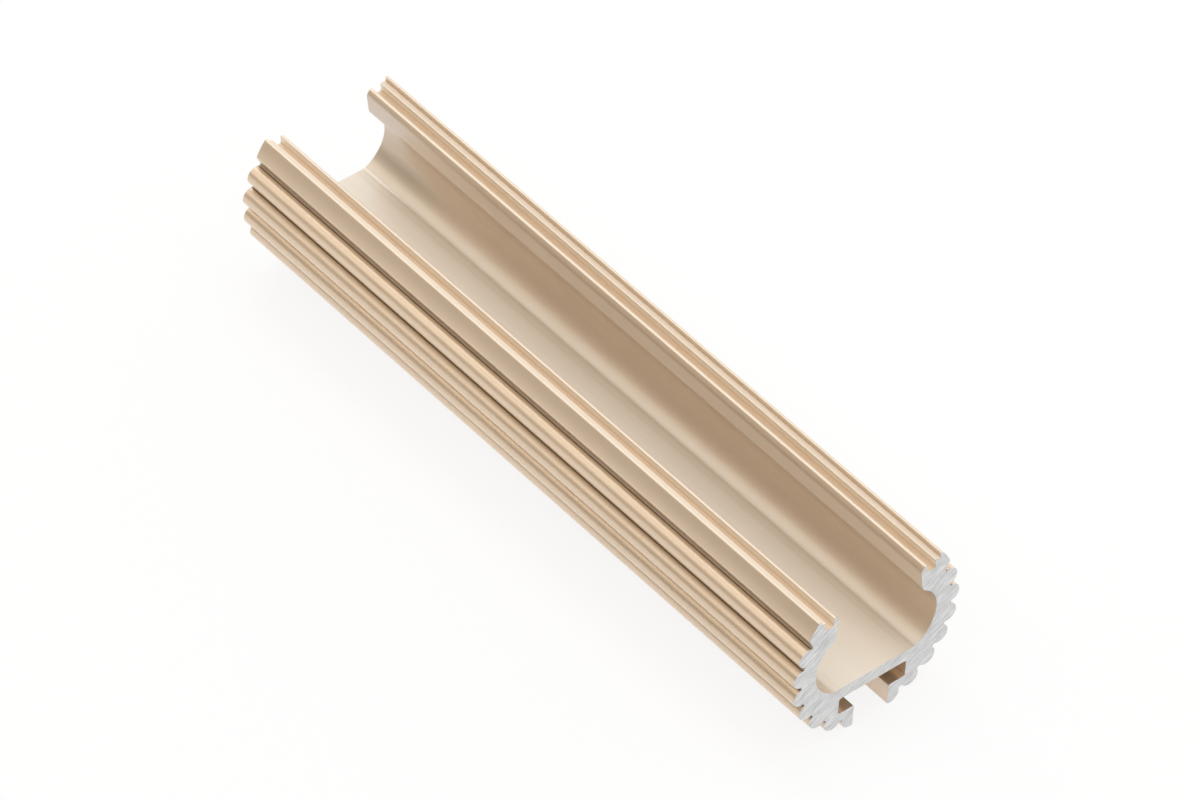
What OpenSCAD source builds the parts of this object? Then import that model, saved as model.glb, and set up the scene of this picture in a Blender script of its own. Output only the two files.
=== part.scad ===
// Cut length of round, ribbed aluminium extrusion. A channel is open along the top, with grooves in its
// lips for a snap-in cover, and a T-slot runs along the underside. The piece lies along Y on its two
// lowest ribs, and the origin is on the floor, under its middle.

/* [Stock] */
// Length of the cut piece
stock_l = 80; // [20:1:300]
// Diameter over the rib crests
crest_d = 20; // [16:0.1:24]

/* [Ribs] */
// Radius of each half-round rib
rib_r = 1.04; // [0.8:0.02:1.14]
// Ribs that would fill a whole turn
turn_ribs = 23; // [23:1:25]
// Half-round ribs on each side
side_ribs = 7; // [5:1:7]

/* [Facets] */
// Angle above level that the strip outside each lip faces
facet_angle = 30; // [28:1:32]
// Inset of the strip from the circle of the rib crests
facet_inset = 0.1; // [0:0.02:0.3]
// Width of the strip
facet_w = 2; // [1.7:0.01:2.1]
// Radius of the strip's slight bulge
facet_r = 8; // [6:0.5:12]

/* [Lips] */
// Drop from the top of the crest circle to the lips
lip_drop = 3.1; // [2.8:0.02:3.4]
// Width of the flat along the top of each lip
lip_flat_w = 0.28; // [0.2:0.02:0.4]
// Drop from the lip's top to its step
step_drop = 0.5; // [0.3:0.05:0.6]
// Width of the step
step_w = 0.66; // [0.5:0.02:0.8]
// Width of the cover groove's mouth
groove_w = 0.95; // [0.8:0.05:1.1]
// Drop from the lip's top to the groove's floor
groove_drop = 1.48; // [1.2:0.02:1.6]
// Overhang of the hook along the groove's outer wall
hook_w = 0.1; // [0.05:0.01:0.15]
// Height of the hook
hook_h = 0.3; // [0.2:0.02:0.4]
// Drop from the lip's top to the inner ridge
ridge_drop = 0.56; // [0.5:0.02:0.7]
// Width of the flat along the ridge
ridge_flat_w = 0.28; // [0.2:0.02:0.35]
// Width of the bevel on the ridge's inner side
bevel_w = 0.4; // [0.3:0.01:0.6]
// Slope of the bevel
bevel_angle = 52; // [45:1:60]
// Lean of the lip's inner face towards the middle
lip_lean = 8.5; // [5:0.5:12]

/* [Channel] */
// Wall beside the channel at its widest, up to the roots of the ribs
wall_t = 1.69; // [1.4:0.01:2]
// Thickness of the web under the channel's floor
web_t = 1.35; // [1:0.05:1.8]
// Radius of the wall above the widest level
wall_upper_r = 3.6; // [3.3:0.05:3.9]
// Radius of the wall below the widest level
wall_lower_r = 4.2; // [3.9:0.05:4.5]
// Radius between floor and wall
floor_r = 0.8; // [0.4:0.05:1.2]
// Radius of the nose under each lip
nose_r = 1.25; // [1:0.05:1.5]

/* [T-slot] */
// Metal below the slot, down to the roots of the ribs
slot_lip_t = 1.86; // [1.6:0.01:2.2]
// Inside width of the slot
slot_w = 8.1; // [6.5:0.1:9]
// Inside height of the slot
slot_h = 2; // [1.6:0.05:2.4]
// Width of the slot's mouth
mouth_w = 4.2; // [3.4:0.05:4.6]
// Radius in the slot's corners
slot_r = 0.3; // [0.1:0.05:0.5]
// Radius along the mouth's inner edges
mouth_r = 0.2; // [0.1:0.02:0.3]

/* [Hidden] */
$fn = 96;
// Overrun of every cut past the surface that it opens
over = 1;
// Reach of one round into the next, so that the two cross in one clean line
bite = 0.002;
half_share = 1 / 2;
// Ribs: their circle of centres is also the root circle between them
crest_r = crest_d / 2;
root_r = crest_r - rib_r;
pitch = 360 / turn_ribs;
lowest = -90;
rest_h = root_r * cos(pitch) + rib_r;
// Facet: unit vectors out of it and up along it, its two ends, the centre of its bulge, and its underside
lip_h = crest_r - lip_drop;
facet_out = [cos(facet_angle), sin(facet_angle)];
facet_up = [-sin(facet_angle), cos(facet_angle)];
facet_reach = crest_r - facet_inset;
facet_rise = (lip_h - facet_reach * facet_out.y) / facet_up.y;
facet_top = facet_reach * facet_out + facet_rise * facet_up;
facet_low = facet_top - facet_w * facet_up;
bulge_back = sqrt(pow(facet_r, 2) - pow(facet_w * half_share, 2));
bulge = (facet_top + facet_low) * half_share - bulge_back * facet_out;
notch_angle = lowest + (side_ribs + half_share) * pitch;
notch = (root_r - bite) * [cos(notch_angle), sin(notch_angle)];
underside = facet_low - notch;
// Lip: places across the section from the outside in, and levels
step_x = facet_top.x - lip_flat_w;
hook_x = step_x - step_w;
ridge_x = hook_x - groove_w;
ridge_flat_x = ridge_x - ridge_flat_w;
step_z = lip_h - step_drop;
groove_z = lip_h - groove_drop;
ridge_z = lip_h - ridge_drop;
hook_z = step_z - hook_h;
// Inner face of the lip: unit vectors into the metal and down along it, from the bevel's lower edge
face_in = [cos(lip_lean), sin(lip_lean)];
face_down = [sin(lip_lean), -cos(lip_lean)];
face_top = [ridge_flat_x - bevel_w, ridge_z - bevel_w * tan(bevel_angle)];
// T-slot and floor, stacked up from the roots of the ribs
slot_low = slot_lip_t - root_r;
slot_top = slot_low + slot_h;
floor_depth = -slot_top - web_t;
mouth_h = crest_d + slot_low + slot_h * half_share;
// Channel wall: its two radii have one upright at the widest level
channel_w = 2 * (root_r - wall_t);
upper_x = channel_w / 2 - wall_upper_r;
lower_x = channel_w / 2 - wall_lower_r;
// Nose: it touches the lip's inner face, and the wall's upper radius from outside
nose_from = face_top + nose_r * face_in - [upper_x, 0];
nose_along = nose_from * face_down;
nose_run = -nose_along - sqrt(pow(nose_along, 2) - nose_from * nose_from + pow(wall_upper_r + nose_r, 2));
face_low = face_top + nose_run * face_down;
nose = face_low + nose_r * face_in;
// Round between floor and wall: it touches the floor, and the wall's lower radius from inside
floor_turn = asin((floor_depth - floor_r) / (wall_lower_r - floor_r));
floor_x = lower_x + (wall_lower_r - floor_r) * cos(floor_turn);
turn_z = -wall_lower_r * sin(floor_turn);

// The same outline on the section's left side
function flipped(points) = [for (i = [len(points) - 1 : -1 : 0]) [-points[i].x, points[i].y]];

// An outline across the section, from its right side's points
module across(points) {
    polygon(concat(points, flipped(points)));
}

// A disc at p, and its twin on the left side
module discs(p, r) {
    for (side = [-1, 1]) translate([side * p.x, p.y]) circle(r = r);
}

// What a round takes off a square corner at p, whose edges leave p at angle a and a right angle on
module corner(p, a, r) {
    c = p + r * [cos(a) - sin(a), sin(a) + cos(a)];
    difference() {
        polygon([p, p + r * [cos(a), sin(a)], c, p + r * [-sin(a), cos(a)]]);
        translate(c) circle(r = r);
    }
}

// Half-round ribs of both sides
module ribs() {
    for (k = [1 : side_ribs], side = [-1, 1])
        rotate(lowest + side * k * pitch) translate([root_r, 0]) circle(r = rib_r);
}

// Slightly bulged strips outside the lips, and the metal behind them
module facets() {
    outline = [
        half_share * notch, notch, facet_low + over * underside / norm(underside),
        facet_top + over * (facet_out + facet_up), [ridge_x, lip_h + over]
    ];
    intersection() {
        polygon(outline);
        translate(bulge) circle(r = facet_r);
    }
    intersection() {
        polygon(flipped(outline));
        translate([-bulge.x, bulge.y]) circle(r = facet_r);
    }
}

// All that is open above the lips, with the steps, the hooks and the cover grooves
module lip_cut() {
    across([
        [ridge_x, ridge_z], [ridge_x, groove_z], [hook_x + hook_w, groove_z], [hook_x + hook_w, hook_z],
        [hook_x, step_z], [step_x, step_z], [step_x, lip_h], [crest_d, lip_h], [crest_d, crest_d]
    ]);
}

// Opening between the lips, rounded at the noses under them
module throat() {
    bevel_run = over / tan(bevel_angle);
    difference() {
        across([
            [upper_x, 0], nose, face_low + bite * face_in, face_top + bite * face_in,
            [ridge_flat_x + bevel_run, ridge_z + over]
        ]);
        discs(nose, nose_r);
    }
}

// Channel below the lips
module hollow() {
    intersection() {
        discs([upper_x + bite, 0], wall_upper_r);
        translate([-channel_w, turn_z * half_share]) square([2 * channel_w, crest_d]);
    }
    intersection() {
        discs([lower_x, 0], wall_lower_r);
        translate([-channel_w, turn_z]) square([2 * channel_w, -turn_z]);
    }
    discs([floor_x + bite, floor_r - floor_depth - bite], floor_r);
    translate([-floor_x, -floor_depth]) square([2 * floor_x, floor_depth]);
}

// T-slot along the underside
module slot() {
    difference() {
        translate([-slot_w / 2, slot_low]) square([slot_w, slot_h]);
        corner([slot_w / 2, slot_low], 90, slot_r);
        corner([slot_w / 2, slot_top], 180, slot_r);
        corner([-slot_w / 2, slot_top], 270, slot_r);
        corner([-slot_w / 2, slot_low], 0, slot_r);
    }
    translate([-mouth_w / 2, -crest_d]) square([mouth_w, mouth_h]);
    corner([mouth_w / 2, slot_low], 270, mouth_r);
    corner([-mouth_w / 2, slot_low], 180, mouth_r);
}

// The extruded section, about its centre
module section() {
    difference() {
        union() {
            circle(r = root_r);
            ribs();
            facets();
        }
        lip_cut();
        throat();
        hollow();
        slot();
    }
}

module profile() {
    color([0.78, 0.7, 0.6])
        translate([0, stock_l / 2, rest_h]) rotate([90, 0, 0]) linear_extrude(height = stock_l) section();
}

profile();
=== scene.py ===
# %% [markdown]
# # A cut length of ribbed aluminium extrusion
# The object is one straight piece of drawn metal: the same cross-section from end to end, cut square
# with a saw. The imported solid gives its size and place. Here it gets the things that a drawing leaves
# out: edges eased by the die, the satin champagne skin of anodising, and bare, sawn ends.

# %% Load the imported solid
import math

import bmesh
import bpy
import numpy as np
from mathutils import Matrix, Vector


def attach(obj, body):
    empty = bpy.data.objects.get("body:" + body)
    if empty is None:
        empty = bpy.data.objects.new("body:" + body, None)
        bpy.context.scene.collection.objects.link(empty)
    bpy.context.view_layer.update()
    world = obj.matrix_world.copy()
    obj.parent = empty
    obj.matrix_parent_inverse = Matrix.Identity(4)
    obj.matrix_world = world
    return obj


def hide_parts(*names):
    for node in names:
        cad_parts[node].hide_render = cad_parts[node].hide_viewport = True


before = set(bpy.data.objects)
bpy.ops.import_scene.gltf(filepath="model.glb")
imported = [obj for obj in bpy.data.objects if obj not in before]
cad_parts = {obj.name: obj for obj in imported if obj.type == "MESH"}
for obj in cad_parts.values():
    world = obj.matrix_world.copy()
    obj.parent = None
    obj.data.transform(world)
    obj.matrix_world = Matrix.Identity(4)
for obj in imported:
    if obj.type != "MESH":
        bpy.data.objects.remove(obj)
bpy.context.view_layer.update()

# %% [markdown]
# ## Sizes of the section
# An extrusion is known by its section, so its sizes come first, in millimetres about the centre of the
# round. They are the same named sizes as the solid's, because a dressed piece that stands for the solid
# has to lie on it. Everything else in the section is worked out from them.

# %% Named sizes
MM = 0.001
STOCK_L = 80
CREST_D = 20
RIB_R, TURN_RIBS, SIDE_RIBS = 1.04, 23, 7
FACET_ANGLE, FACET_INSET, FACET_W, FACET_R = 30, 0.1, 2, 8
LIP_DROP, LIP_FLAT_W = 3.1, 0.28
STEP_DROP, STEP_W = 0.5, 0.66
GROOVE_W, GROOVE_DROP = 0.95, 1.48
HOOK_W, HOOK_H = 0.1, 0.3
RIDGE_DROP, RIDGE_FLAT_W = 0.56, 0.28
BEVEL_W, BEVEL_ANGLE, LIP_LEAN = 0.4, 52, 8.5
WALL_T, WEB_T = 1.69, 1.35
WALL_UPPER_R, WALL_LOWER_R, FLOOR_R, NOSE_R = 3.6, 4.2, 0.8, 1.25
SLOT_LIP_T, SLOT_W, SLOT_H = 1.86, 8.1, 2
MOUTH_W, SLOT_R, MOUTH_R = 4.2, 0.3, 0.2

crest_r = CREST_D / 2
root_r = crest_r - RIB_R
pitch = 360 / TURN_RIBS
rest_h = root_r * math.cos(math.radians(pitch)) + RIB_R
print(f"rib pitch {pitch:.2f} degrees, section centre {rest_h:.3f} mm above the floor")

# %% [markdown]
# ## Drawing with eased corners
# No edge from a die is perfectly sharp: each has a radius of about a tenth of a millimetre, and that
# radius is what catches the light as a thin bright line. A bevel on the finished mesh could make it, but
# it is simpler to ease the corners while the line is drawn. Each eased corner has a short straight
# stretch at both ends, so that smooth shading stays flat on the flats beside it.

# %% Line helpers
EASE, STRETCH = 0.1, 1.25


def polar(angle, radius=1.0):
    """A step of that length in that direction, in degrees."""
    return Vector((math.cos(math.radians(angle)), math.sin(math.radians(angle)))) * radius


def arc(centre, radius, start, end, step):
    """Points along an arc, both ends included."""
    count = max(2, round(abs(end - start) / step))
    return [centre + polar(start + (end - start) * i / count, radius) for i in range(count + 1)]


def eased(before, corner, after, reach, steps=5):
    """A corner rounded over a reach along both its sides, with a short straight stretch at each end."""
    back, on = (before - corner).normalized() * reach, (after - corner).normalized() * reach
    curve = []
    for i in range(steps + 1):
        t = i / steps
        curve.append(corner + back * (1 - t) ** 2 + on * t ** 2)
    return [corner + back * STRETCH, *curve, corner + on * STRETCH]


def drawn(corners):
    """A line through corners given as (point, reach of its easing); the two ends stay as they are."""
    line = [corners[0][0]]
    for (p, _), (q, reach), (r, _) in zip(corners, corners[1:], corners[2:]):
        line += eased(p, q, r, reach) if reach else [q]
    return line + [corners[-1][0]]


def finely(line, longest=0.35):
    """The same line with extra points, so that no stretch is longer than that."""
    points = [line[0]]
    for p, q in zip(line, line[1:]):
        count = max(1, math.ceil((q - p).length / longest))
        points += [p.lerp(q, i / count) for i in range(1, count + 1)]
    return points


# %% [markdown]
# ## One rib
# The grip ribs are half-rounds on a circle. Only one is drawn, lying on the x axis, from the middle of
# the narrow land on one side of it to the middle of the land on its other side. The two roots are eased
# like every other corner.

# %% Draw the rib
root_half = math.degrees(2 * math.asin(RIB_R / 2 / root_r))
rib_half = 90 + root_half / 2
RIB_STEP = 6.0


def rib_line(start):
    """The rib from a start angle about its own centre to the middle of the land after it."""
    last = rib_half - math.degrees(EASE / RIB_R)
    line = arc(Vector((root_r, 0)), RIB_R, start, last, RIB_STEP)
    land = polar(pitch / 2, root_r)
    return line[:-1] + eased(line[-1], polar(root_half, root_r), land, EASE)[1:-1] + [land]


half_rib = rib_line(0.0)
one_rib = [Vector((p.x, -p.y)) for p in reversed(half_rib[1:])] + half_rib
print(f"one rib: {len(one_rib)} points over {2 * rib_half:.1f} degrees")

# %% [markdown]
# ## The rest of half a section
# The left half of the section mirrors the right half, so two open lines on the right are enough: one
# from the middle of the T-slot's roof round to the lowest rib, and one from the facet over the lip and
# down the channel's wall to the middle of its floor. The lowest rib is cut off by the slot's mouth, so it
# belongs to the first line and isn't one of the repeated ones.

# %% Draw the slot's line
mouth_x = MOUTH_W / 2
slot_low = SLOT_LIP_T - root_r
slot_top = slot_low + SLOT_H
lowest = pitch - 90
lowest_rib = polar(lowest, root_r)
edge_z = lowest_rib.y - math.sqrt(RIB_R ** 2 - (lowest_rib.x - mouth_x) ** 2)
edge_angle = math.degrees(math.atan2(edge_z - lowest_rib.y, mouth_x - lowest_rib.x)) - lowest
turned_down = Matrix.Rotation(math.radians(lowest), 2)
rib_end = [turned_down @ p for p in rib_line(edge_angle + math.degrees(EASE / RIB_R))]
# The last two points of the drawn line give way to the rib's own first point
slot_line = drawn([
    (Vector((0, slot_top)), 0),
    (Vector((SLOT_W / 2, slot_top)), SLOT_R),
    (Vector((SLOT_W / 2, slot_low)), SLOT_R),
    (Vector((mouth_x, slot_low)), MOUTH_R),
    (Vector((mouth_x, edge_z)), EASE),
    (rib_end[0], 0),
])[:-2] + rib_end
print(f"slot: {len(slot_line)} points, mouth edge at {edge_z:.3f}")

# %% [markdown]
# ### The facet and the lip
# Above the ribs, a slightly bulged strip leads up to the lip. The lip's top is stepped, and between the
# step and the inner ridge lies the groove that a cover snaps into, held by a small hook. Places are
# worked out from the outside in and levels from the top down, as one would mark them out on a drawing.

# %% Work out the facet and the lip
FACET_STEP = 3.0
lip_h = crest_r - LIP_DROP
facet_out, facet_up = polar(FACET_ANGLE), polar(FACET_ANGLE + 90)
facet_reach = crest_r - FACET_INSET
facet_top = facet_out * facet_reach + facet_up * (lip_h - facet_reach * facet_out.y) / facet_up.y
facet_low = facet_top - facet_up * FACET_W
facet_middle = (facet_top + facet_low) / 2
bulge = facet_middle - facet_out * math.sqrt(FACET_R ** 2 - (FACET_W / 2) ** 2)
spread = math.degrees(math.asin(FACET_W / 2 / FACET_R))
facet = arc(bulge, FACET_R, FACET_ANGLE - spread, FACET_ANGLE + spread, FACET_STEP)
notch = polar((SIDE_RIBS + 0.5) * pitch - 90, root_r)
step_x = facet_top.x - LIP_FLAT_W
hook_x = step_x - STEP_W
ridge_x = hook_x - GROOVE_W
bevel_x = ridge_x - RIDGE_FLAT_W
step_z, groove_z, ridge_z = lip_h - STEP_DROP, lip_h - GROOVE_DROP, lip_h - RIDGE_DROP
bevel_h = BEVEL_W * math.tan(math.radians(BEVEL_ANGLE))
face_top = Vector((bevel_x - BEVEL_W, ridge_z - bevel_h))
print(f"lip: {facet_top.x - bevel_x:.2f} mm wide, {BEVEL_W + facet_top.x - bevel_x:.2f} mm with its bevel")

# %% [markdown]
# ### The channel
# Under the lip, the wall swings outwards round a nose, runs down in two large arcs and meets the floor in
# a small one. Each arc touches the next one without a corner. A freehand curve could look the same, but
# arcs that touch can be worked out from their radii, so the wall lies where the solid's wall lies.

# %% Work out the channel's rounds
face_in, face_down = polar(LIP_LEAN), polar(LIP_LEAN - 90)
wide_x = root_r - WALL_T
upper, lower = Vector((wide_x - WALL_UPPER_R, 0)), Vector((wide_x - WALL_LOWER_R, 0))
away = face_top + face_in * NOSE_R - upper
along = away.dot(face_down)
nose_run = -along - math.sqrt(along ** 2 - away.length_squared + (WALL_UPPER_R + NOSE_R) ** 2)
face_low = face_top + face_down * nose_run
nose = face_low + face_in * NOSE_R
nose_end = math.degrees(math.atan2(nose.y, nose.x - upper.x))
floor_z = slot_top + WEB_T
floor_turn = math.degrees(math.asin((-floor_z - FLOOR_R) / (WALL_LOWER_R - FLOOR_R)))
floor_round = lower + polar(-floor_turn, WALL_LOWER_R - FLOOR_R)
print(f"channel: {2 * wide_x:.2f} mm wide, floor {floor_z + rest_h:.3f} mm above the ground")

# %% Draw the lip's and the channel's line
FLAT_EASE, STEP_EASE, HOOK_EASE, BARB_EASE = 0.09, 0.06, 0.11, 0.05
RIDGE_EASE, BEVEL_EASE = 0.12, 0.25
TIGHT_R, TIGHT_STEP, WIDE_STEP = 2, 5.0, 4.0
lip_line = drawn([
    (notch, 0),
    (facet_low, EASE),
    *((p, 0) for p in facet[1:-1]),
    (facet_top, EASE),
    (Vector((step_x, lip_h)), FLAT_EASE),
    (Vector((step_x, step_z)), STEP_EASE),
    (Vector((hook_x, step_z)), HOOK_EASE),
    (Vector((hook_x + HOOK_W, step_z - HOOK_H)), BARB_EASE),
    (Vector((hook_x + HOOK_W, groove_z)), EASE),
    (Vector((ridge_x, groove_z)), EASE),
    (Vector((ridge_x, ridge_z)), EASE),
    (Vector((bevel_x, ridge_z)), RIDGE_EASE),
    (face_top, BEVEL_EASE),
    (face_low, 0),
])
for centre, radius, start, end in (
    (nose, NOSE_R, 180 + LIP_LEAN, 180 + nose_end),
    (upper, WALL_UPPER_R, nose_end, 0),
    (lower, WALL_LOWER_R, 0, -floor_turn),
    (floor_round, FLOOR_R, -floor_turn, -90),
):
    lip_line += arc(centre, radius, start, end, TIGHT_STEP if radius < TIGHT_R else WIDE_STEP)[1:]
lip_line.append(Vector((0, floor_z)))
print(f"lip and channel: {len(lip_line)} points")

# %% [markdown]
# ## Building the piece with Geometry Nodes
# A die does two things that nodes do well. It repeats the rib, and it pushes one closed line along a
# straight path. A short script could also copy the points, but in a tree the pitch, the length and the
# trimming stay as inputs that can be changed afterwards. The tree is written in small steps: its inputs,
# the loop, the sweep, the trimming and the finishes.

# %% Node helpers
def add(tree, kind, inputs=(), **settings):
    """A new node; an input is either a value or the output socket that feeds it."""
    node = tree.nodes.new(kind)
    for name, value in settings.items():
        setattr(node, name, value)
    for key, value in dict(inputs).items():
        if isinstance(value, bpy.types.NodeSocket):
            tree.links.new(value, node.inputs[key])
        else:
            node.inputs[key].default_value = value
    return node


def wire(tree, kind, inputs=(), **settings):
    """The first output of a new node."""
    return add(tree, kind, inputs, **settings).outputs[0]


def maths(tree, operation, a, b=0.0):
    """The result of one sum."""
    return wire(tree, "ShaderNodeMath", {0: a, 1: b}, operation=operation)


def apart(tree, vector):
    """The three parts of a vector."""
    return add(tree, "ShaderNodeSeparateXYZ", {0: vector}).outputs


def together(tree, *parts):
    """Several geometries joined into one."""
    node = add(tree, "GeometryNodeJoinGeometry")
    for part in parts:
        tree.links.new(part, node.inputs[0])
    return node.outputs[0]


# %% Name the die's inputs
die = bpy.data.node_groups.new("extrusion die", "GeometryNodeTree")
for name, kind in (
    ("Half Section", "Geometry"), ("Rib", "Object"), ("Ribs Placed", "Int"), ("First Angle", "Float"),
    ("Pitch", "Float"), ("Length", "Float"), ("Etch", "Float"), ("Deburr", "Float"),
    ("Rest Height", "Float"), ("Skin", "Material"), ("Sawn", "Material"),
):
    die.interface.new_socket(name, in_out="INPUT", socket_type="NodeSocket" + kind)
die.interface.new_socket("Stock", in_out="OUTPUT", socket_type="NodeSocketGeometry")
given = die.nodes.new("NodeGroupInput").outputs
print(f"die: {len(given) - 1} inputs")

# %% [markdown]
# ### The loop
# The drawn rib is placed at an even pitch and joins the two lines of the half section. A mirrored copy
# makes the other half. The open ends meet at the middle of the lands, of the roof and of the floor, so a
# weld by distance turns all of it into one closed loop.

# %% Repeat, mirror and weld
WELD = 0.002
index = wire(die, "GeometryNodeInputIndex")
angle = maths(die, "ADD", maths(die, "MULTIPLY", index, given["Pitch"]), given["First Angle"])
ribs = wire(die, "GeometryNodeInstanceOnPoints", {
    "Points": wire(die, "GeometryNodePoints", {"Count": given["Ribs Placed"]}),
    "Instance": add(die, "GeometryNodeObjectInfo", {"Object": given["Rib"]}).outputs["Geometry"],
    "Rotation": wire(die, "ShaderNodeCombineXYZ", {"Z": angle}),
})
ribs = wire(die, "GeometryNodeRealizeInstances", {0: ribs})
half = together(die, given["Half Section"], ribs)
other = wire(die, "GeometryNodeTransform", {"Geometry": half, "Scale": (-1, 1, 1)})
edges = wire(die, "GeometryNodeCurveToMesh", {"Curve": together(die, half, other)})
welded = wire(die, "GeometryNodeMergeByDistance", {"Geometry": edges, "Distance": WELD * MM})
loop = wire(die, "GeometryNodeMeshToCurve", {"Mesh": welded})
loop = wire(die, "GeometryNodeTransform", {"Geometry": loop, "Rotation": (math.pi, 0, 0)})
print(f"loop: {len(die.nodes)} nodes so far")

# %% [markdown]
# ### The sweep
# The path has four stations: the two ends, and one just inside each end, where the deburred edge starts.
# Curve to Mesh carries the loop along it and closes both ends. The direction in which the loop runs is
# kept on every point, because the next step needs it to tell which way is into the metal.

# %% Sweep the loop
half_length = maths(die, "MULTIPLY", given["Length"], 0.5)
inner_end = maths(die, "SUBTRACT", half_length, given["Deburr"])
far_half = [inner_end, half_length]
stations = [maths(die, "MULTIPLY", place, -1.0) for place in reversed(far_half)] + far_half
station = add(die, "GeometryNodeIndexSwitch", data_type="FLOAT")
for _ in stations[2:]:
    station.index_switch_items.new()
die.links.new(index, station.inputs["Index"])
for i, place in enumerate(stations, 1):
    die.links.new(place, station.inputs[i])
path = wire(die, "GeometryNodeSetPosition", {
    "Geometry": wire(die, "GeometryNodeMeshLine", {"Count": len(stations)}),
    "Position": wire(die, "ShaderNodeCombineXYZ", {"Y": station.outputs[0]}),
})
path = wire(die, "GeometryNodeMeshToCurve", {"Mesh": path})
kept = add(die, "GeometryNodeCaptureAttribute")
kept.capture_items.new("VECTOR", "Run")
die.links.new(loop, kept.inputs["Geometry"])
die.links.new(wire(die, "GeometryNodeInputTangent"), kept.inputs["Run"])
swept = wire(die, "GeometryNodeCurveToMesh", {
    "Curve": path, "Profile Curve": kept.outputs["Geometry"], "Fill Caps": True})
print(f"sweep: {len(die.nodes)} nodes so far")

# %% [markdown]
# ### Etched and deburred
# Etching takes a few thousandths of a millimetre off the whole skin, and the saw's burr is brushed off
# both ends. Both are the same move: points go into the metal, square to the loop, a little everywhere and
# more at the ends. Whether left or right of the loop is inside depends on the way it runs, so the sign of
# the swept volume decides.

# %% Draw the skin in
spot = wire(die, "GeometryNodeInputPosition")
normal = wire(die, "GeometryNodeInputNormal")
outwards = add(die, "ShaderNodeVectorMath", {0: normal, 1: spot}, operation="DOT_PRODUCT").outputs["Value"]
outwards = maths(die, "MULTIPLY", outwards, wire(die, "GeometryNodeInputMeshFaceArea"))
sense = add(die, "GeometryNodeAttributeStatistic", {"Geometry": swept, "Attribute": outwards},
            data_type="FLOAT", domain="FACE").outputs["Sum"]
last_ring = maths(die, "ADD", maths(die, "MULTIPLY", given["Deburr"], -0.5), half_length)
at_end = maths(die, "GREATER_THAN", maths(die, "ABSOLUTE", apart(die, spot)["Y"]), last_ring)
burr = maths(die, "MULTIPLY", at_end, maths(die, "SUBTRACT", given["Deburr"], given["Etch"]))
taken = maths(die, "MULTIPLY", maths(die, "ADD", burr, given["Etch"]), -1.0)
pull = maths(die, "MULTIPLY", maths(die, "SIGN", sense), taken)
run = apart(die, kept.outputs["Run"])
inward = wire(die, "ShaderNodeCombineXYZ", {
    "X": maths(die, "MULTIPLY", run["Y"], pull), "Z": maths(die, "MULTIPLY", run["X"], pull)})
trimmed = wire(die, "GeometryNodeSetPosition", {"Geometry": swept, "Offset": inward})
print(f"trimming: {len(die.nodes)} nodes so far")

# %% [markdown]
# ### Two finishes
# The stock is anodised first and cut to length afterwards, so a face that looks along the length is bare
# and every other one has the skin. The section was drawn about the centre of the round, and here it is
# lifted until it lies on its two lowest ribs.

# %% Lift it onto the floor and give each face its finish
ALONG = 0.5
lift = wire(die, "ShaderNodeCombineXYZ", {"Z": given["Rest Height"]})
lifted = wire(die, "GeometryNodeTransform", {"Geometry": trimmed, "Translation": lift})
sawn_face = maths(die, "GREATER_THAN", maths(die, "ABSOLUTE", apart(die, normal)["Y"]), ALONG)
real = wire(die, "GeometryNodeRealizeInstances", {0: lifted})
dressed = wire(die, "GeometryNodeSetMaterial", {"Geometry": real, "Material": given["Skin"]})
dressed = wire(die, "GeometryNodeSetMaterial", {
    "Geometry": dressed, "Selection": sawn_face, "Material": given["Sawn"]})
add(die, "NodeGroupOutput", {0: dressed})
print(f"extrusion die: {len(die.nodes)} nodes")

# %% [markdown]
# ## Pushing the stock through the die
# The half section becomes a curve object, and the tree works on it as a modifier. Its inputs are set by
# their identifiers before anything is evaluated. The result is taken as a plain mesh, and the modifier and
# the two drawn curves have done their work. The two finishes are made empty here and filled in below.

# %% Make the curves and the empty finishes
def line_object(name, lines):
    """A curve object with one open polyline for each list of section points."""
    curve = bpy.data.curves.new(name, "CURVE")
    curve.dimensions = "3D"
    for line in lines:
        spline = curve.splines.new("POLY")
        spline.points.add(len(line) - 1)
        for point, p in zip(spline.points, line):
            point.co = (p.x * MM, p.y * MM, 0, 1)
    obj = bpy.data.objects.new(name, curve)
    bpy.context.scene.collection.objects.link(obj)
    return obj


def finish_named(name):
    """A new node material."""
    finish = bpy.data.materials.new(name)
    finish.use_nodes = True
    return finish


rib_curve = line_object("rib line", [one_rib])
half_curve = line_object("half section", [finely(slot_line), finely(lip_line)])
anodised, sawn = finish_named("champagne anodised skin"), finish_named("bare sawn end")
print(f"half section: {[len(s.points) for s in half_curve.data.splines]} points in its two lines")

# %% Push
ETCH, DEBURR = 0.003, 0.04
press = half_curve.modifiers.new("die", "NODES")
press.node_group = die
socket = {s.name: s.identifier for s in die.interface.items_tree if s.in_out == "INPUT"}
for name, value in (
    ("Rib", rib_curve), ("Ribs Placed", SIDE_RIBS - 1), ("First Angle", math.radians(2 * pitch - 90)),
    ("Pitch", math.radians(pitch)), ("Length", STOCK_L * MM), ("Etch", ETCH * MM), ("Deburr", DEBURR * MM),
    ("Rest Height", rest_h * MM), ("Skin", anodised), ("Sawn", sawn),
):
    press[socket[name]] = value
depsgraph = bpy.context.evaluated_depsgraph_get()
stock_mesh = bpy.data.meshes.new_from_object(half_curve.evaluated_get(depsgraph), depsgraph=depsgraph)
half_curve.modifiers.remove(press)
for curve in (half_curve, rib_curve):
    bpy.data.objects.remove(curve)
print(f"stock: {len(stock_mesh.polygons)} faces, finishes {[m.name for m in stock_mesh.materials]}")

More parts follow.
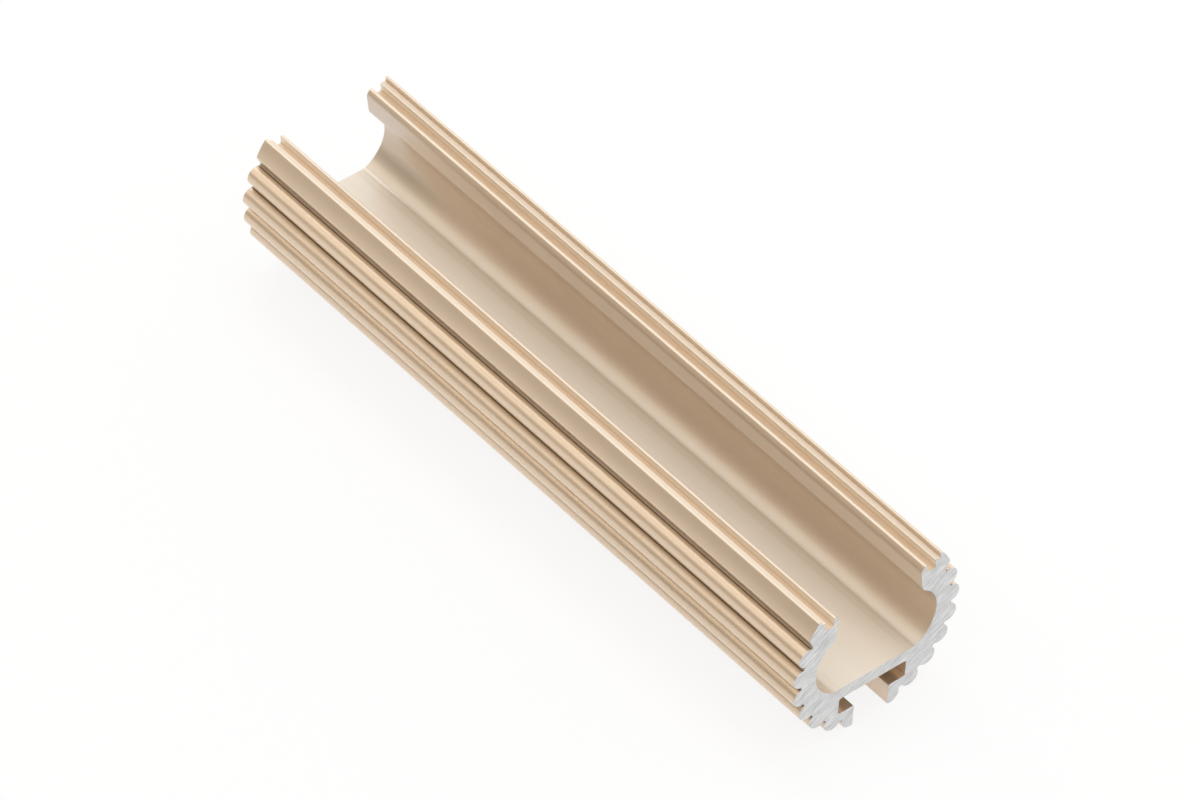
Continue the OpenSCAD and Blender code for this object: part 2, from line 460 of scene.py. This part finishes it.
# %% Check that it is closed, and shade it smooth
SMOOTH_UP_TO = 32
work = bmesh.new()
work.from_mesh(stock_mesh)
bmesh.ops.recalc_face_normals(work, faces=work.faces)
open_edges = sum(not e.is_manifold for e in work.edges)
volume = work.calc_volume(signed=True) / MM ** 3
work.to_mesh(stock_mesh)
work.free()
stock_mesh.shade_smooth()
stock_mesh.set_sharp_from_angle(angle=math.radians(SMOOTH_UP_TO))
stock_mesh.name = "extruded_stock"
stock = bpy.data.objects.new("extruded_stock", stock_mesh)
bpy.context.scene.collection.objects.link(stock)
print(f"stock: {open_edges} open edges, {volume:.1f} mm3")

# %% [markdown]
# ## Edges, crevices and the hollow
# Four things about a section show on its finish. Sharp convex edges are paler, partly from the rub of
# handling and partly as a painted highlight along them. Narrow corners and the T-slot are painted darker,
# as painted shade where little light gets in. The bath's current is weaker in a hollow, so the skin there
# is thinner and takes less dye. And whatever is slid along the channel wears its floor, as a cover wears
# the grooves and tops of the lips; these are painted paler, the floor and the lip tops most where they face
# up, partly as that wear and partly as painted light from above. All four follow from the line alone: how
# fast it turns, what closes it in within a millimetre, how much metal stands opposite at some distance, and
# which way it faces. They are measured on one ring of the mesh and kept as attributes.

# %% Walk round one ring
RINGS = len(stations)
count = len(stock_mesh.vertices) // RINGS
places = np.empty(len(stock_mesh.vertices) * 3)
stock_mesh.vertices.foreach_get("co", places)
ring = places.reshape(-1, 3)[count:2 * count][:, [0, 2]] / MM
after, before = np.roll(ring, -1, 0) - ring, ring - np.roll(ring, 1, 0)
after_len, before_len = np.hypot(*after.T), np.hypot(*before.T)
turning = np.sign(np.cross(ring, np.roll(ring, -1, 0)).sum())
bend = np.arctan2(np.cross(before, after), (before * after).sum(1)) * 2 / (after_len + before_len)
SLIGHT_BEND, FULL_BEND = 1.5, 9.5
edge = np.clip((turning * bend - SLIGHT_BEND) / (FULL_BEND - SLIGHT_BEND), 0, 1)
course = after / after_len[:, None] + before / before_len[:, None]
outward = turning * np.stack([course[:, 1], -course[:, 0]], 1) / np.hypot(*course.T)[:, None]
print(f"ring of {count} points, {(edge > 0.5).sum()} of them on sharp edges")

# %% [markdown]
# ### What closes a place in
# A fan of rays goes out from every point of the ring, across the section. Where many of them meet metal
# at once, the place is a narrow corner. Where they meet it after about a millimetre it is a cover groove,
# after a few millimetres the T-slot, and farther off the channel. Ambient occlusion in a shader could
# darken corners too, but it doesn't tell one hollow from another.

# %% Send a fan of rays out of every point
RAYS, WIDEST, LIFT_OFF, TINY = 41, 84, 0.002, 1e-9
NARROW, GROOVE, SLOT, HOLLOW = 1.0, (0.7, 1.5), (1.6, 5.0), (5.0, 16.0)


def first_hits():
    """Each ray's weight, and how far it runs from every point before it meets metal."""
    gap = ring[None] - (ring + outward * LIFT_OFF)[:, None]
    for swing in np.radians(np.linspace(-WIDEST, WIDEST, RAYS)):
        c, s = math.cos(swing), math.sin(swing)
        way = outward @ np.array([[c, s], [-s, c]])
        slant = way[:, None, 0] * after[None, :, 1] - way[:, None, 1] * after[None, :, 0]
        slant = np.where(np.abs(slant) < TINY, TINY, slant)
        run = (gap[..., 0] * after[None, :, 1] - gap[..., 1] * after[None, :, 0]) / slant
        share = (gap[..., 0] * way[:, None, 1] - gap[..., 1] * way[:, None, 0]) / slant
        met = (run > LIFT_OFF / 2) & (share >= 0) & (share <= 1)
        yield c, np.where(met, run, np.inf).min(1)


crevice, grooved, slotted, inside = np.zeros((4, count))
total = 0.0
for weight, run in first_hits():
    crevice += weight * (1 - np.minimum(run, NARROW) / NARROW)
    grooved += weight * ((run > GROOVE[0]) & (run < GROOVE[1]))
    slotted += weight * ((run > SLOT[0]) & (run < SLOT[1]))
    inside += weight * ((run > HOLLOW[0]) & (run < HOLLOW[1]))
    total += weight
crevice, grooved, slotted, inside = (share / total for share in (crevice, grooved, slotted, inside))
print(f"groove up to {grooved.max():.2f}, slot up to {slotted.max():.2f}")


def between(values, low, high):
    """Values stretched from that span onto 0 to 1."""
    return np.clip((values - low) / (high - low), 0, 1)


# %% Keep what the finish needs
LIP_WEAR_AND_LIGHT, SLOT_SHADE, LEVEL_POWER = 0.45, 0.37, 4
SLOT_SPAN, FLOOR_SPAN, GROOVE_SPAN = (0.45, 0.7), (0.3, 0.45), (0.36, 0.5)
# Painted shade: the T-slot joins the narrow corners in which the skin's colour is darkened.
crevice = np.maximum(crevice, between(slotted, *SLOT_SPAN) * SLOT_SHADE)
on_lip = ring[:, 1] > rest_h + groove_z
level = np.clip(outward[:, 1], 0, 1) ** LEVEL_POWER
# Partly wear, partly painted light from above: up-facing lip tops, the channel's floor and the grooves get
# the pale dye.
wear_and_painted_light = level * np.where(on_lip, LIP_WEAR_AND_LIGHT, between(inside, *FLOOR_SPAN))
wear_and_painted_light = np.maximum(wear_and_painted_light, between(grooved, *GROOVE_SPAN))
for name, values in (("edge", edge), ("crevice", crevice), ("inside", inside), ("wear_and_painted_light", wear_and_painted_light)):
    layer = stock_mesh.attributes.new(name, "FLOAT", "POINT")
    layer.data.foreach_set("value", np.tile(values, RINGS))
    print(f"{name}: up to {values.max():.2f}")

# %% [markdown]
# ## Finishes
# Two effects serve both finishes, so each is a node group. Lines that a tool leaves, whether the bearings
# of the die or the teeth of the saw, are noise stretched far along one direction. Grain is fine noise with
# a slow cloud beside it: the etch that makes the skin satin, and the tear of the saw on the bare metal.

# %% Shader helpers
def effect(name, inputs, outputs):
    """An empty shader group with its sockets, and the sockets as they are seen from inside."""
    group = bpy.data.node_groups.new(name, "ShaderNodeTree")
    for way, sockets in (("INPUT", inputs), ("OUTPUT", outputs)):
        for label, kind in sockets.items():
            group.interface.new_socket(label, in_out=way, socket_type="NodeSocket" + kind)
    return group, group.nodes.new("NodeGroupInput").outputs, group.nodes.new("NodeGroupOutput").inputs


def placed(tree, group, place, **values):
    """The outputs of an effect placed in a material, with that material's own values."""
    node = add(tree, "ShaderNodeGroup", node_tree=group)
    tree.links.new(place, node.inputs["Place"])
    for label, value in values.items():
        node.inputs[label].default_value = value
    return node.outputs


def noise(tree, place, scale, detail, roughness=0.5):
    """A grey noise from 0 to 1."""
    return wire(tree, "ShaderNodeTexNoise", {
        "Vector": place, "Scale": scale, "Detail": detail, "Roughness": roughness})


def remap(tree, value, low, high, to_low, to_high):
    """A value stretched from one span onto another, held inside it."""
    return wire(tree, "ShaderNodeMapRange", {
        "Value": value, "From Min": low, "From Max": high, "To Min": to_low, "To Max": to_high})


def blend(tree, share, a, b):
    """Two colours mixed by a share; each is a socket or three numbers."""
    a, b = ((*c, 1) if isinstance(c, tuple) else c for c in (a, b))
    return add(tree, "ShaderNodeMix", {0: share, 6: a, 7: b}, data_type="RGBA").outputs[2]


def in_millimetres(tree):
    """Where a point is on the piece, in millimetres."""
    spot = add(tree, "ShaderNodeTexCoord").outputs["Object"]
    return wire(tree, "ShaderNodeVectorMath", {0: spot, "Scale": 1 / MM}, operation="SCALE")


def measured(tree, name):
    """One of the values kept on the ring."""
    return add(tree, "ShaderNodeAttribute", attribute_name=name).outputs["Fac"]


# %% Shared effects
BROAD_SHARE, NARROW_SHARE, LINE_SPAN = 0.55, 0.45, (0.36, 0.64)
tool_lines, given, result = effect(
    "tool lines", {"Place": "Vector", "Coarse": "Float", "Fine": "Float"}, {"Lines": "Float"})
broad = noise(tool_lines, given["Place"], given["Coarse"], detail=2.0)
narrow = noise(tool_lines, given["Place"], given["Fine"], detail=3.0, roughness=0.6)
broad = maths(tool_lines, "MULTIPLY", broad, BROAD_SHARE)
narrow = maths(tool_lines, "MULTIPLY", narrow, NARROW_SHARE)
both = maths(tool_lines, "ADD", broad, narrow)
tool_lines.links.new(remap(tool_lines, both, *LINE_SPAN, 0, 1), result["Lines"])

CLOUD_SCALE, GRAIN_SPAN, CLOUD_SPAN = 0.11, (0.25, 0.75), (0.3, 0.7)
grain, given, result = effect(
    "grain", {"Place": "Vector", "Size": "Float"}, {"Grain": "Float", "Cloud": "Float"})
per_mm = maths(grain, "DIVIDE", 1.0, given["Size"])
fine = noise(grain, given["Place"], per_mm, detail=3.0, roughness=0.65)
cloud = noise(grain, given["Place"], CLOUD_SCALE, detail=3.0)
grain.links.new(remap(grain, fine, *GRAIN_SPAN, 0, 1), result["Grain"])
grain.links.new(remap(grain, cloud, *CLOUD_SPAN, 0, 1), result["Cloud"])
print("shared effects:", tool_lines.name, "and", grain.name)

# %% [markdown]
# ### Champagne anodising
# Anodising grows a clear, hard skin out of the metal itself, and a champagne dye sits in its pores. The
# metal was etched first, so it shines softly in all directions: part mirror, part matt. Faint lines from
# the die run along the length, and both they and the grain vary the dye a little. The dye is paler in the
# hollow. Edges are painted paler, partly as rubbing and partly as a painted highlight. The floor, the lip
# tops and the grooves are painted paler, partly as wear from what slides and partly as painted light from
# above. Narrow corners and the T-slot are painted darker as painted shade. The worn places are more matt
# as well. A clear coat stands for the sealed surface.

# %% Colour of the skin
# The third dye, the palest, is partly worn skin and partly painted light on places that face up.
DYE, HOLLOW_DYE, WORN_AND_LIT_DYE = (0.83, 0.64, 0.45), (0.71, 0.58, 0.445), (0.95, 0.868, 0.748)
STREAK, SPECK = (0.42, 0.31, 0.21), (0.55, 0.43, 0.32)
RUBBED_AND_GLINT, SHADED = (0.87, 0.78, 0.67), (0.17, 0.115, 0.07)
STREAK_SHARE, SPECK_SHARE, RUBBED_AND_GLINT_SHARE, SHADED_SHARE = 0.09, 0.12, 0.45, 0.85
HOLLOW_SPAN, CREVICE_SPAN, ALONG_STOCK = (0.15, 0.4), (0.3, 0.4), (1, 0.012, 1)
tree = anodised.node_tree
spot = in_millimetres(tree)
etched = placed(tree, grain, spot, Size=0.16)
drawn_out = wire(tree, "ShaderNodeMapping", {"Vector": spot, "Scale": ALONG_STOCK})
die_marks = placed(tree, tool_lines, drawn_out, Coarse=1.6, Fine=6.0)
colour = blend(tree, remap(tree, measured(tree, "inside"), *HOLLOW_SPAN, 0, 1), DYE, HOLLOW_DYE)
# Partly wear, partly painted light: the skin is mixed paler where it faces up and in the grooves.
colour = blend(tree, measured(tree, "wear_and_painted_light"), colour, WORN_AND_LIT_DYE)
uneven = maths(tree, "ADD", etched["Cloud"], die_marks["Lines"])
colour = blend(tree, remap(tree, uneven, 0, 2, 0, STREAK_SHARE), colour, STREAK)
colour = blend(tree, remap(tree, etched["Grain"], 0, 1, 0, SPECK_SHARE), colour, SPECK)
# Partly rubbed edges, partly a painted highlight: sharp convex edges are mixed paler and whiter.
colour = blend(tree, remap(tree, measured(tree, "edge"), 0, 1, 0, RUBBED_AND_GLINT_SHARE), colour, RUBBED_AND_GLINT)
# Painted shade: the skin is mixed towards dark brown in narrow corners and in the T-slot.
painted_shade = remap(tree, measured(tree, "crevice"), *CREVICE_SPAN, 0, SHADED_SHARE)
colour = blend(tree, painted_shade, colour, SHADED)
skin = tree.nodes["Principled BSDF"]
tree.links.new(colour, skin.inputs["Base Color"])
print(f"skin's colour: {len(tree.nodes)} nodes")

# %% Sheen and relief of the skin
SATIN, LINE_SHEEN, MIRROR = (0.37, 0.45), (-0.03, 0.02), (0.5, 0.2)
SKIN_RELIEF, PIT_SHARE, LINE_SHARE = 0.004, 0.7, 0.3
satin = remap(tree, etched["Grain"], 0, 1, *SATIN)
smoother = remap(tree, die_marks["Lines"], 0, 1, *LINE_SHEEN)
pits = maths(tree, "MULTIPLY", etched["Grain"], PIT_SHARE)
height = maths(tree, "ADD", pits, maths(tree, "MULTIPLY", die_marks["Lines"], LINE_SHARE))
for feed, label in (
    (maths(tree, "ADD", satin, smoother), "Roughness"),
    (remap(tree, measured(tree, "wear_and_painted_light"), 0, 1, *MIRROR), "Metallic"),
    (wire(tree, "ShaderNodeBump", {"Height": height, "Distance": SKIN_RELIEF * MM}), "Normal"),
):
    tree.links.new(feed, skin.inputs[label])
for label, value in (("Coat Weight", 1.0), ("Coat Roughness", 0.3), ("Coat IOR", 1.6)):
    skin.inputs[label].default_value = value
print(f"{anodised.name}: {len(tree.nodes)} nodes")

# %% [markdown]
# ### Bare, sawn ends
# The stock is cut after anodising, so both ends show the metal itself, a neutral grey. The saw leaves
# short straight lines across the whole face at a slant, some broad and many fine, and they tilt the
# surface a little to and fro. Turning the coordinates before stretching the noise sets the slant.

# %% Finish the sawn ends
SAW_ANGLE, SAW_STRETCH, SAW_RELIEF, MARK_SHARE, TEAR_SHARE = 30, (0.15, 1, 1), 0.006, 0.8, 0.2
SAW_SHEEN, TORN_SHARE, SAW_MIRROR = (0.5, 0.36), 0.3, 0.8
DULL, BRIGHT, TORN = (0.54, 0.54, 0.545), (0.84, 0.84, 0.835), (0.45, 0.45, 0.46)
tree = sawn.node_tree
spot = in_millimetres(tree)
slanted = wire(tree, "ShaderNodeVectorRotate", {"Vector": spot, "Angle": math.radians(SAW_ANGLE)},
               rotation_type="Y_AXIS")
cut = wire(tree, "ShaderNodeMapping", {"Vector": slanted, "Scale": SAW_STRETCH})
saw_marks = placed(tree, tool_lines, cut, Coarse=3.2, Fine=11.0)["Lines"]
tear = placed(tree, grain, spot, Size=0.12)["Grain"]
metal = blend(tree, saw_marks, DULL, BRIGHT)
metal = blend(tree, remap(tree, tear, 0, 1, 0, TORN_SHARE), metal, TORN)
ridges = maths(tree, "MULTIPLY", saw_marks, MARK_SHARE)
height = maths(tree, "ADD", ridges, maths(tree, "MULTIPLY", tear, TEAR_SHARE))
bare = tree.nodes["Principled BSDF"]
for feed, label in (
    (metal, "Base Color"),
    (remap(tree, saw_marks, 0, 1, *SAW_SHEEN), "Roughness"),
    (wire(tree, "ShaderNodeBump", {"Height": height, "Distance": SAW_RELIEF * MM}), "Normal"),
):
    tree.links.new(feed, bare.inputs[label])
bare.inputs["Metallic"].default_value = SAW_MIRROR
print(f"{sawn.name}: {len(tree.nodes)} nodes")

# %% [markdown]
# ## Standing for the solid
# The dressed piece takes the place of the plain solid in every picture, and the solid stays behind it for
# collisions. Nothing moves on this part, so there is one body to ride on.

# %% Replace the solid
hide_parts("profile")
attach(stock, "root")
print("dressed:", stock.name)

# %% [markdown]
# ## The floor
# The piece lies on a wide, flat white floor that runs out of the picture. The metal's reflections see it as
# plain white, and so does the camera, with just enough of the real paint mixed in to keep a soft shadow.
# Light that bounces off it comes from the paint alone.

# %% Lay the floor
FLOOR_HALF, CAMERA_SHARE = 4, 0.85
floor_mesh = bpy.data.meshes.new("floor")
corners = [(x * FLOOR_HALF, y * FLOOR_HALF, 0) for x, y in ((-1, -1), (1, -1), (1, 1), (-1, 1))]
floor_mesh.from_pydata(corners, [], [(0, 1, 2, 3)])
floor = bpy.data.objects.new("floor", floor_mesh)
bpy.context.scene.collection.objects.link(floor)
pale = finish_named("pale floor")
tree = pale.node_tree
paint = tree.nodes["Principled BSDF"]
paint.inputs["Base Color"].default_value = (0.95, 0.95, 0.95, 1)
paint.inputs["Roughness"].default_value = 0.9
paint.inputs["Specular IOR Level"].default_value = 0.0
ray = add(tree, "ShaderNodeLightPath").outputs
glow = wire(tree, "ShaderNodeEmission", {"Color": (1, 1, 1, 1), "Strength": 1.0})
in_view = maths(tree, "MULTIPLY", ray["Is Camera Ray"], CAMERA_SHARE)
seen = maths(tree, "ADD", in_view, ray["Is Glossy Ray"])
table = wire(tree, "ShaderNodeMixShader", {0: seen, 1: paint.outputs[0], 2: glow})
tree.links.new(table, tree.nodes["Material Output"].inputs["Surface"])
floor_mesh.materials.append(pale)
print(f"floor: {2 * FLOOR_HALF} m square")

# %% [markdown]
# ## The light
# A long round bar shows the room as bands along its length, so only the angle round the bar matters. The
# room is drawn that way: a ramp over the angle in degrees from the right, over the top, to the left. It is
# bright on the right and overhead, brightest and a little warm high on the left, and nearly dark low on the
# left, which gives the facet and the ribs their shaded bands. Many lamps could do the same, but a ramp is
# easier to read.

# %% Light the room
SKY = (
    (12, 1.25), (35, 0.9), (53, 0.5), (65, 1.05), (75, 1.15), (84, 1.1), (92, 0.95), (100, 0.85),
    (108, 0.8), (116, 1.05), (124, 1.75), (132, 1.5), (141, 0.85), (151, 0.2), (168, 0.1),
)
WARM, WARM_FROM = (1, 0.94, 0.84), 120
world = bpy.data.worlds.new("studio")
world.use_nodes = True
tree = world.node_tree
way = apart(tree, add(tree, "ShaderNodeTexCoord").outputs["Generated"])
turn = maths(tree, "ARCTAN2", maths(tree, "MAXIMUM", way["Z"], 0.0), way["X"])
ramp = add(tree, "ShaderNodeValToRGB", {0: maths(tree, "DIVIDE", turn, math.pi)})
brightest = max(level for _, level in SKY)
while len(ramp.color_ramp.elements) < len(SKY):
    ramp.color_ramp.elements.new(0.5)
for element, (degrees, level) in zip(ramp.color_ramp.elements, SKY):
    element.position = degrees / 180
    tint = WARM if degrees > WARM_FROM else (1, 1, 1)
    element.color = (*(level / brightest * part for part in tint), 1)
room = tree.nodes["Background"]
tree.links.new(ramp.outputs["Color"], room.inputs["Color"])
room.inputs["Strength"].default_value = brightest
white = wire(tree, "ShaderNodeBackground", {"Color": (1, 1, 1, 1), "Strength": 1.0})
seen = add(tree, "ShaderNodeLightPath").outputs["Is Camera Ray"]
shown = wire(tree, "ShaderNodeMixShader", {0: seen, 1: room.outputs[0], 2: white})
tree.links.new(shown, tree.nodes["World Output"].inputs["Surface"])
bpy.context.scene.world = world
print(f"room: {len(SKY)} bands, the brightest {brightest}")

# %% [markdown]
# ### The softbox
# One lamp hangs over the piece, long and narrow like the piece itself. It stands nearer to the far end, so
# the skin grows lighter towards it. Its level is given against white, and its power follows from its size.

# %% Hang the softbox
BOX_SIZE, BOX_PLACE, BOX_LEVEL = (0.112, 0.45), (0.052, 0.17, 0.33), 1.55
lamp = bpy.data.lights.new("overhead softbox", "AREA")
lamp.shape = "RECTANGLE"
lamp.size, lamp.size_y = BOX_SIZE
lamp.energy = BOX_LEVEL * math.pi * lamp.size * lamp.size_y
box = bpy.data.objects.new("overhead softbox", lamp)
box.location = BOX_PLACE
box.rotation_euler = (0, math.atan2(BOX_PLACE[0], BOX_PLACE[2]), 0)
bpy.context.scene.collection.objects.link(box)
print(f"softbox: {lamp.energy:.3f} W")

# %% [markdown]
# ## The camera
# The photograph looks down at the sawn end from the left, with a long lens, so the far end is hardly
# smaller than the near one. Where the camera stands was worked out from the rib circles at both ends.

# %% Place the camera
EYE = Vector((-402.858, -441.63, 594.421)) * MM
RIGHT, DOWN = Vector((0.7663, -0.64091, 0.04487)), Vector((-0.42476, -0.55778, -0.71306))
AHEAD = Vector((0.48204, 0.52736, -0.69967))
SENSOR, PICTURE_W, FOCAL = 36, 1200, 9001.69
lens = bpy.data.cameras.new("camera")
lens.sensor_width = SENSOR
lens.lens = FOCAL * SENSOR / PICTURE_W
lens.clip_start, lens.clip_end = 0.05, 50
camera = bpy.data.objects.new("camera", lens)
camera.matrix_world = Matrix.Translation(EYE) @ Matrix((RIGHT, -DOWN, -AHEAD)).transposed().to_4x4()
bpy.context.scene.collection.objects.link(camera)
bpy.context.scene.camera = camera
bpy.context.scene.view_settings.view_transform = "Standard"
print(f"camera: {lens.lens:.0f} mm lens")
